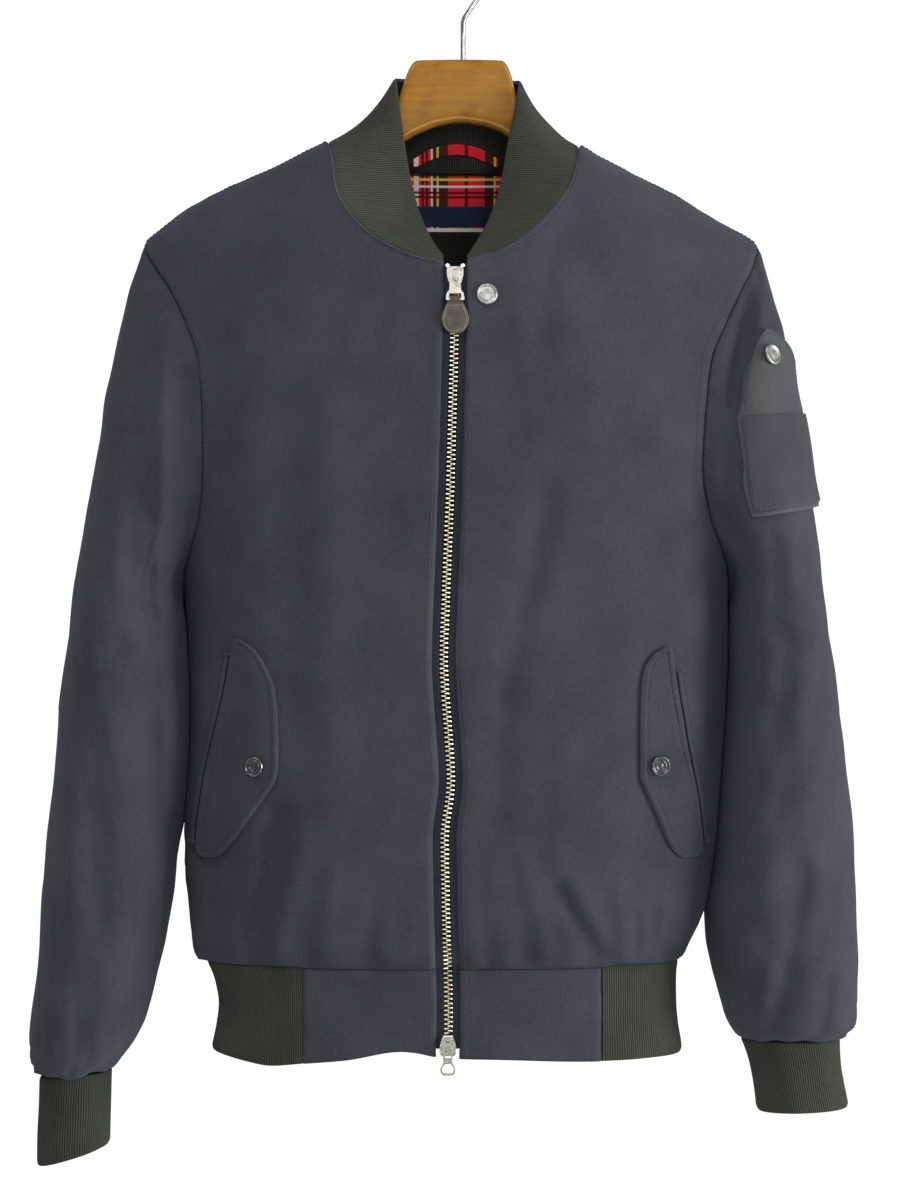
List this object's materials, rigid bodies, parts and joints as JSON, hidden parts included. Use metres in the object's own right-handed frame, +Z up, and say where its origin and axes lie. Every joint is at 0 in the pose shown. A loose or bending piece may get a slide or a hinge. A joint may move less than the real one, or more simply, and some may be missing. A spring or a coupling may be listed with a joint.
{
  "type": "bomber jacket on a hanger",
  "caption": "Zipped bomber jacket with ribbed collar, cuffs and hem, flapped slant pockets and a sleeve tab, hanging on a wooden hanger with a wire hook.",
  "frame": {"origin": "where the hook rests on its rail: the inside of the hook's crown", "axes": "+Z up, -Y out of the jacket's front, +X to the viewer's right as the front is seen"},
  "size_m": [0.5779, 0.183, 0.8624],
  "materials": {
    "wool": "matt plain weave, navy to blue-grey",
    "rib": "matt fine rib knit, dark olive-grey",
    "tartan": "matt woven check on a red ground",
    "nylon": "dull tight weave",
    "satin": "soft sheen, grey-black",
    "navy_satin": "soft sheen, navy",
    "tape": "matt zip tape, navy",
    "zip_metal": "satin plated metal",
    "snap_metal": "aged plated metal",
    "leather": "matt dark olive-brown",
    "horn": "dark, polished rim",
    "wood": "varnished mid-brown",
    "chrome": "bright plated wire"
  },
  "bodies": {
    "jacket": {"back": "wool", "collar": "rib", "cuff_left": "rib", "cuff_right": "rib", "front_left": "wool", "front_right": "wool", "hanger_hook": "chrome", "hanger_wood": "wood", "hem_front_left": "wool", "hem_front_right": "wool", "hem_rib": "rib", "lining_yoke": "tartan", "neck_label": "navy_satin", "neck_label_lower": "satin", "neck_loop": "tartan", "neck_snap": "snap_metal", "pocket_button_left": "horn", "pocket_button_right": "horn", "pocket_flap_left": "wool", "pocket_flap_right": "wool", "pocket_welt_left": "wool", "pocket_welt_right": "wool", "sleeve_left": "wool", "sleeve_right": "wool", "sleeve_tab": "nylon", "sleeve_tab_label": "satin", "sleeve_tab_snap": "snap_metal", "zip_chain": "zip_metal", "zip_slider_bottom": "zip_metal", "zip_slider_top": "zip_metal", "zip_stop_left": "zip_metal", "zip_stop_right": "zip_metal", "zip_tape_left": "tape", "zip_tape_right": "tape"},
    "pull_top": {"zip_pull_top": "zip_metal"},
    "tag": {"zip_tag": "leather"},
    "pull_bottom": {"zip_pull_bottom": "zip_metal"}
  },
  "joints": [
    {"name": "pull_top_swing", "type": "hinge", "parent": "jacket", "child": "pull_top", "pos_m": [-0.00563, -0.0845, -0.2468], "axis": [-1, 0, 0], "range_deg": [0, 110]},
    {"name": "tag_swing", "type": "hinge", "parent": "pull_top", "child": "tag", "pos_m": [-0.00563, -0.08757, -0.2622], "axis": [-1, 0, 0], "range_deg": [0, 50]},
    {"name": "pull_bottom_swing", "type": "hinge", "parent": "jacket", "child": "pull_bottom", "pos_m": [-0.01057, -0.07635, -0.76906], "axis": [-1, 0, 0], "range_deg": [0, 110]}
  ]
}
